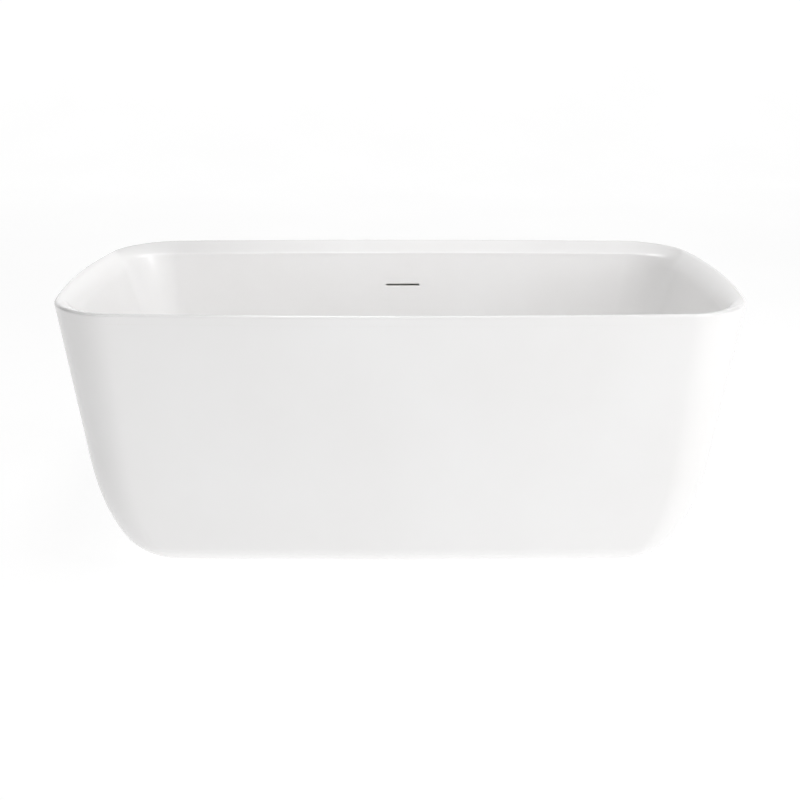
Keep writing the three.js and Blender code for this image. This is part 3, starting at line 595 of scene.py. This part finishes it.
# levelling feet
FEET = [(-400, -230), (400, -230), (-400, 230), (400, 230), (-150, 0)]
for i, (x, y) in enumerate(FEET, 1):
    sole = [(2.5, 0.4), (3.0, 0.0)]
    for r0 in (6.0, 10.5, 15.0, 19.5):
        sole += [(r0, 0.0), (r0 + 0.35, 0.9), (r0 + 1.9, 0.9), (r0 + 2.25, 0.0)]
    sole += [(26.6, 0.0), (27.5, 0.35), (28.0, 1.4), (28.0, 5.0), (27.4, 6.1), (25.9, 6.9)]
    sole += spline([(25.9, 6.9), (20, 9.3), (15.6, 12.0), (13.9, 15.0), (13.2, 22), (12.6, 30.4), (12.1, 31.6), (11.2, 32.0)], 4)[1:]
    sole += [(7.2, 32.0), (6.6, 31.5), (6.6, 12.0), (6.1, 11.6), (3.0, 11.6), (2.5, 11.1)]
    parts = [strip([polar(p, x, y, 72) for p in sole])]
    for k in range(8):
        v, f, m = chamfer_box(13.0, 24.5, -1.0, 1.0, 6.6, 10.2, 0.35, 22.5 + 45 * k, x, y)
        parts.append((v, f, m))
        parts.append(chamfer_box(12.9, 18.5, -1.0, 1.0, 9.8, 15.5, 0.35, 22.5 + 45 * k, x, y))
    piece(islands(f"foot_pad_ribbed_{i}", parts, [MATS["foot"]]), f"foot_{i}_pad", "foot_plastic", f"foot_{i}_pad")
    hc = hexagon(9.8)
    shank = [(0.2, 12.0), (4.8, 12.0), (5.2, 12.3)] + thread(5.95, 0.75, 1.75, 13.0, 31.8, 7)
    shank += [(5.6, 32.3), (8.3, 32.3), (hc, 33.0), (hc, 39.6), (8.3, 40.3), (5.6, 40.3)] + thread(5.95, 0.75, 1.75, 40.6, 78.8, 7)
    shank += [(4.9, 79.4), (4.2, 80.0), (0.2, 80.0)]
    piece(islands(f"foot_stud_threaded_{i}", [strip([polar(p, x, y, 36) for p in shank], closed=False)], [MATS["zinc"]], 50), f"foot_{i}_stud", "zinc_steel", f"foot_{i}_stud")
    piece(islands(f"lock_nut_chamfered_{i}", [strip([polar(p, x, y, 72) for p in hex_loop(10.9, 40.6, 47.2, 6.2, 14)])], [MATS["zinc"]]), "tub", "zinc_steel", f"foot_{i}_lock_nut")
    piece(islands(f"weld_nut_chamfered_{i}", [strip([polar(p, x, y, 72) for p in hex_loop(10.9, 47.5, 57.6, 6.2)])], [MATS["steel"]]), "tub", "frame_steel", f"foot_{i}_weld_nut")

# overflow hose: corrugated, with plain cuffs under the clamps
def wall_at(z):
    for k in range(2001):
        if bez(SIDE_WALL, k / 2000, 1) <= z:
            return bez(SIDE_WALL, k / 2000, 0)
TILT = math.atan2(wall_at(477) - wall_at(467), 10)
BACK_Y = wall_at(472) + SHELL / math.cos(TILT) + 0.35
def rotp(x, y, z):
    c, s = math.cos(-TILT), math.sin(-TILT)
    return Vector((7 + x, BACK_Y + y * c - z * s, 472 + y * s + z * c))
LINE = [rotp(0, 20, -19.5), rotp(0, 20, -40), rotp(0, 20, -60)] + [Vector(v) for v in (
    (6.5, 333.5, 370), (5.5, 336, 300), (4, 337, 230), (3, 336, 170), (2.3, 331, 125), (1.5, 314, 88), (0.7, 283, 69), (0, 245, 64.3),
    (0, 200, 64), (0, 150, 64), (0, 100, 64), (0, 70, 64), (0, 43, 64))]
def centreline(P, per=60):
    out = []
    for i in range(len(P) - 1):
        x1, x2 = P[i], P[i + 1]
        x0 = P[i - 1] if i else x1 * 2 - x2
        x3 = P[i + 2] if i + 2 < len(P) else x2 * 2 - x1
        d0, d1, d2 = [(max((b - a).length_squared, 1e-9)) ** 0.25 for a, b in ((x0, x1), (x1, x2), (x2, x3))]
        t1 = ((x1 - x0) / d0 - (x2 - x0) / (d0 + d1) + (x2 - x1) / d1) * d1
        t2 = ((x2 - x1) / d1 - (x3 - x1) / (d1 + d2) + (x3 - x2) / d2) * d1
        for k in range(per):
            t = k / per
            out.append(x1 + t1 * t + (x2 * 3 - x1 * 3 - t1 * 2 - t2) * t * t + (x1 * 2 - x2 * 2 + t1 + t2) * t ** 3)
    return out + [P[-1]]
def build_hose():
    raw = centreline(LINE)
    acc = [0.0]
    for a, b in zip(raw, raw[1:]):
        acc.append(acc[-1] + (b - a).length)
    total = acc[-1]
    def at(s):
        s = min(max(s, 0.0), total)
        lo, hi = 0, len(acc) - 1
        while hi - lo > 1:
            mid = (lo + hi) // 2
            if acc[mid] <= s:
                lo = mid
            else:
                hi = mid
        return raw[lo].lerp(raw[hi], (s - acc[lo]) / max(acc[hi] - acc[lo], 1e-9))
    cuff, pitch = 27.0, 4.2
    stops = [0.0, 1.0] + [cuff * k / 4 for k in range(1, 5)]
    n = int((total - 2 * cuff) / pitch)
    step = (total - 2 * cuff) / n
    for k in range(n):
        for q in range(1, 7):
            stops.append(cuff + (k + q / 6) * step)
    stops += [total - cuff + cuff * k / 4 for k in range(1, 4)] + [total - 1.0, total]
    outer, inner = [], []
    for s in stops:
        p, t = at(s), (at(s + 0.6) - at(s - 0.6)).normalized()
        u = (Vector((1, 0, 0)) - t * t.x).normalized()
        v = t.cross(u)
        ripple = 0.0
        if cuff < s < total - cuff:
            ripple = (0.5 - 0.5 * math.cos(2 * math.pi * (s - cuff) / step)) ** 0.7
        ro = 15.9 - 1.7 * ripple - (0.3 if s in (0.0, total) else 0.0)
        ri = 13.8 - 0.2 * ripple
        ring_o, ring_i = [], []
        for k in range(32):
            d = u * math.cos(turn(k, 32)) + v * math.sin(turn(k, 32))
            ring_o.append(tuple(p + d * ro))
            ring_i.append(tuple(p + d * ri))
        outer.append(ring_o)
        inner.append(ring_i)
    ob = grid("overflow_hose_corrugated", outer + inner[::-1], [MATS["grey_plastic"]], crease=60)
    return piece(ob, "tub", "grey_plastic", "overflow_hose")
build_hose()

# hose clamps: slotted band, screw housing and a slotted screw head
def clamp(name, node, frame_of):
    band = [polar(p, seg=96) for p in ((16.75, -5.6), (17.0, -6.0), (17.7, -6.0), (17.9, -5.5), (17.55, -5.0), (17.55, 5.0), (17.9, 5.5), (17.7, 6.0), (17.0, 6.0), (16.75, 5.6))]
    parts = [strip(band)]
    for k in range(7, 41):
        parts.append(chamfer_box(17.4, 17.95, -0.45, 0.45, -3.6, 3.6, 0.12, 90 + k * 7.5))
    parts.append(chamfer_box(-6.0, 7.0, 17.2, 22.9, -4.6, 4.6, 0.9))
    screw = [(0.2, -9.6), (3.6, -9.6), (3.6, -6.2), (2.4, -6.0), (2.4, 7.4), (1.8, 7.9), (0.2, 7.9)]
    head = [[(pz, 19.9 + py, px) for px, py, pz in r] for r in [polar(p, seg=36) for p in screw]]
    parts.append(strip(head, closed=False))
    parts = [([tuple(frame_of(Vector(p))) for p in v], f, m) for v, f, m in parts]
    piece(islands(name, parts, [MATS["zinc"]]), "tub", "zinc_steel", node)
def lower_frame(p):
    return Vector((p.x, 54 - p.z, 64 + p.y))
def upper_frame(p):
    q = Vector((-p.y, p.x + 20, p.z - 30))
    return rotp(q.x, q.y, q.z)
clamp("hose_clamp_lower_band", "overflow_clamp_lower", lower_frame)
clamp("hose_clamp_upper_band", "overflow_clamp_upper", upper_frame)

# weld beads where the cross members meet the rails
def bead(x0, y0, x1, y1, z, n=26):
    """A rippled fillet lying along a joint line."""
    rings = []
    L = math.hypot(x1 - x0, y1 - y0)
    ux, uy = (x1 - x0) / L, (y1 - y0) / L
    for k in range(n + 1):
        t = k / n
        r = (2.1 + 0.35 * math.cos(k * 2.4)) * (0.45 + 0.55 * min(1.0, 8 * t, 8 * (1 - t)))
        px, py = lerp(x0, x1, t), lerp(y0, y1, t)
        rings.append([(px - uy * r * math.cos(turn(j, 12)), py + ux * r * math.cos(turn(j, 12)), z + r * math.sin(turn(j, 12))) for j in range(12)])
    return strip(rings, closed=False)
beads = []
for x in (-400, -150, 400):
    for y in (-185, 185):
        for sx in (-1, 1):
            beads.append(bead(x + sx * 12.9, y - 11, x + sx * 12.9, y + 11, 83.0))
piece(islands("weld_beads", beads, [MATS["steel"]]), "tub", "frame_steel")

# ------------------------------------------------------------------ carried-over CAD nodes
def paint(node, mat, bevel=None, smooth=30):
    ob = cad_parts[node]
    for s in ob.material_slots:
        s.link = "OBJECT"
        s.material = MATS[mat]
    if bevel:
        b = ob.modifiers.new("edge", "BEVEL")
        b.width, b.segments, b.limit_method, b.angle_limit = bevel * MM, 2, "ANGLE", R(smooth)
        b.harden_normals = False
    return ob

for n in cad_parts:
    if n.startswith("frame_"):
        paint(n, "steel", 1.6)
paint("base_board", "board", 0.8)
paint("rim_bond_band", "resin")
for n in ("waste_gasket_upper", "waste_gasket_lower", "overflow_gasket"):
    paint(n, "rubber", 0.35)
paint("overflow_housing", "white_plastic", 0.8)

# ------------------------------------------------------------------ stage, lights, camera
def sweep():
    """A lit translucent table that curves up behind, so it stays an even pale white."""
    prof = [(-14.0, -0.0006), (5.0, -0.0006)]
    prof += [(5.0 + 3.0 * math.sin(R(a)), 3.0 - 0.0006 - 3.0 * math.cos(R(a))) for a in range(6, 91, 6)]
    prof += [(8.0, 5.5)]
    xs = [-16.0, 0.0, 16.0]
    verts = [(x, y, z) for y, z in prof for x in xs]
    faces = [(i * 3 + j, i * 3 + j + 1, (i + 1) * 3 + j + 1, (i + 1) * 3 + j) for i in range(len(prof) - 1) for j in range(2)]
    return mesh_obj("studio_floor", verts, faces, [MATS["floor"]], scale=1.0)
sweep()

world = bpy.data.worlds.new("studio")
sc.world = world
world.use_nodes = True
wn = world.node_tree
bg = wn.nodes["Background"]
wco = wn.nodes.new("ShaderNodeTexCoord")
wmap = wn.nodes.new("ShaderNodeMapping")
wmap.inputs["Rotation"].default_value = (0, 0, 0)
wsep = wn.nodes.new("ShaderNodeSeparateXYZ")
wn.links.new(wco.outputs["Generated"], wmap.inputs["Vector"])
wn.links.new(wmap.outputs["Vector"], wsep.inputs["Vector"])
wmr = wn.nodes.new("ShaderNodeMapRange")
wmr.inputs["From Min"].default_value = -0.8
wmr.inputs["From Max"].default_value = 0.8
wmr.inputs["To Min"].default_value = 0.005
wmr.inputs["To Max"].default_value = 0.02
wn.links.new(wsep.outputs["X"], wmr.inputs["Value"])
wlp = wn.nodes.new("ShaderNodeLightPath")
wmix = wn.nodes.new("ShaderNodeMix")
wmix.data_type = "FLOAT"
wn.links.new(wlp.outputs["Is Camera Ray"], wmix.inputs["Factor"])
wn.links.new(wmr.outputs["Result"], wmix.inputs["A"])
wmix.inputs["B"].default_value = 0.9
wn.links.new(wmix.outputs["Result"], bg.inputs["Strength"])
bg.inputs["Color"].default_value = (1.0, 0.99, 0.98, 1)

def sun(name, toward, strength, angle, colour=(1, 1, 1)):
    """A broad soft light, the same over the whole floor, shining from the given direction."""
    d = bpy.data.lights.new(name, "SUN")
    d.energy, d.angle, d.color = strength, R(angle), colour
    o = bpy.data.objects.new(name, d)
    sc.collection.objects.link(o)
    o.rotation_euler = Vector(toward).to_track_quat("Z", "Y").to_euler()
    return o
sun("side_light", (0.8, -0.8, 0.25), 0.6, 60)
sun("front_light", (0.0, -0.9, 0.45), 0.75, 80)

def area(name, loc, target, size, power, colour=(1, 1, 1)):
    d = bpy.data.lights.new(name, "AREA")
    d.shape, d.size, d.size_y, d.energy, d.color = "RECTANGLE", size[0], size[1], power, colour
    o = bpy.data.objects.new(name, d)
    sc.collection.objects.link(o)
    o.location = loc
    o.rotation_euler = (Vector(target) - Vector(loc)).to_track_quat("-Z", "Y").to_euler()
    return o
area("key_right_front", (2.6, -2.4, 1.1), (0.3, -0.3, 0.3), (1.2, 1.2), 18.0)
area("key_right_high", (1.6, -0.6, 2.3), (0.1, 0.0, 0.3), (1.2, 1.0), 15.0)
area("overhead_left", (-0.3, 0.0, 2.0), (0.15, 0.0, 0.3), (1.0, 0.6), 10.2)
area("overhead_right", (0.35, 0.05, 2.0), (0.1, 0.0, 0.3), (0.8, 0.6), 4.0)

cam_data = bpy.data.cameras.new("camera")
cam = bpy.data.objects.new("camera", cam_data)
sc.collection.objects.link(cam)
cam_data.sensor_fit = "HORIZONTAL"
cam_data.sensor_width = 36.0
cam_data.lens = 1010.9 / 800 * 36
cam.location = (0.0, -2.309, 1.135)
cam.rotation_euler = (R(90 - 20.724), 0, 0)
sc.camera = cam
sc.view_settings.view_transform = "Standard"
sc.view_settings.look = "None"
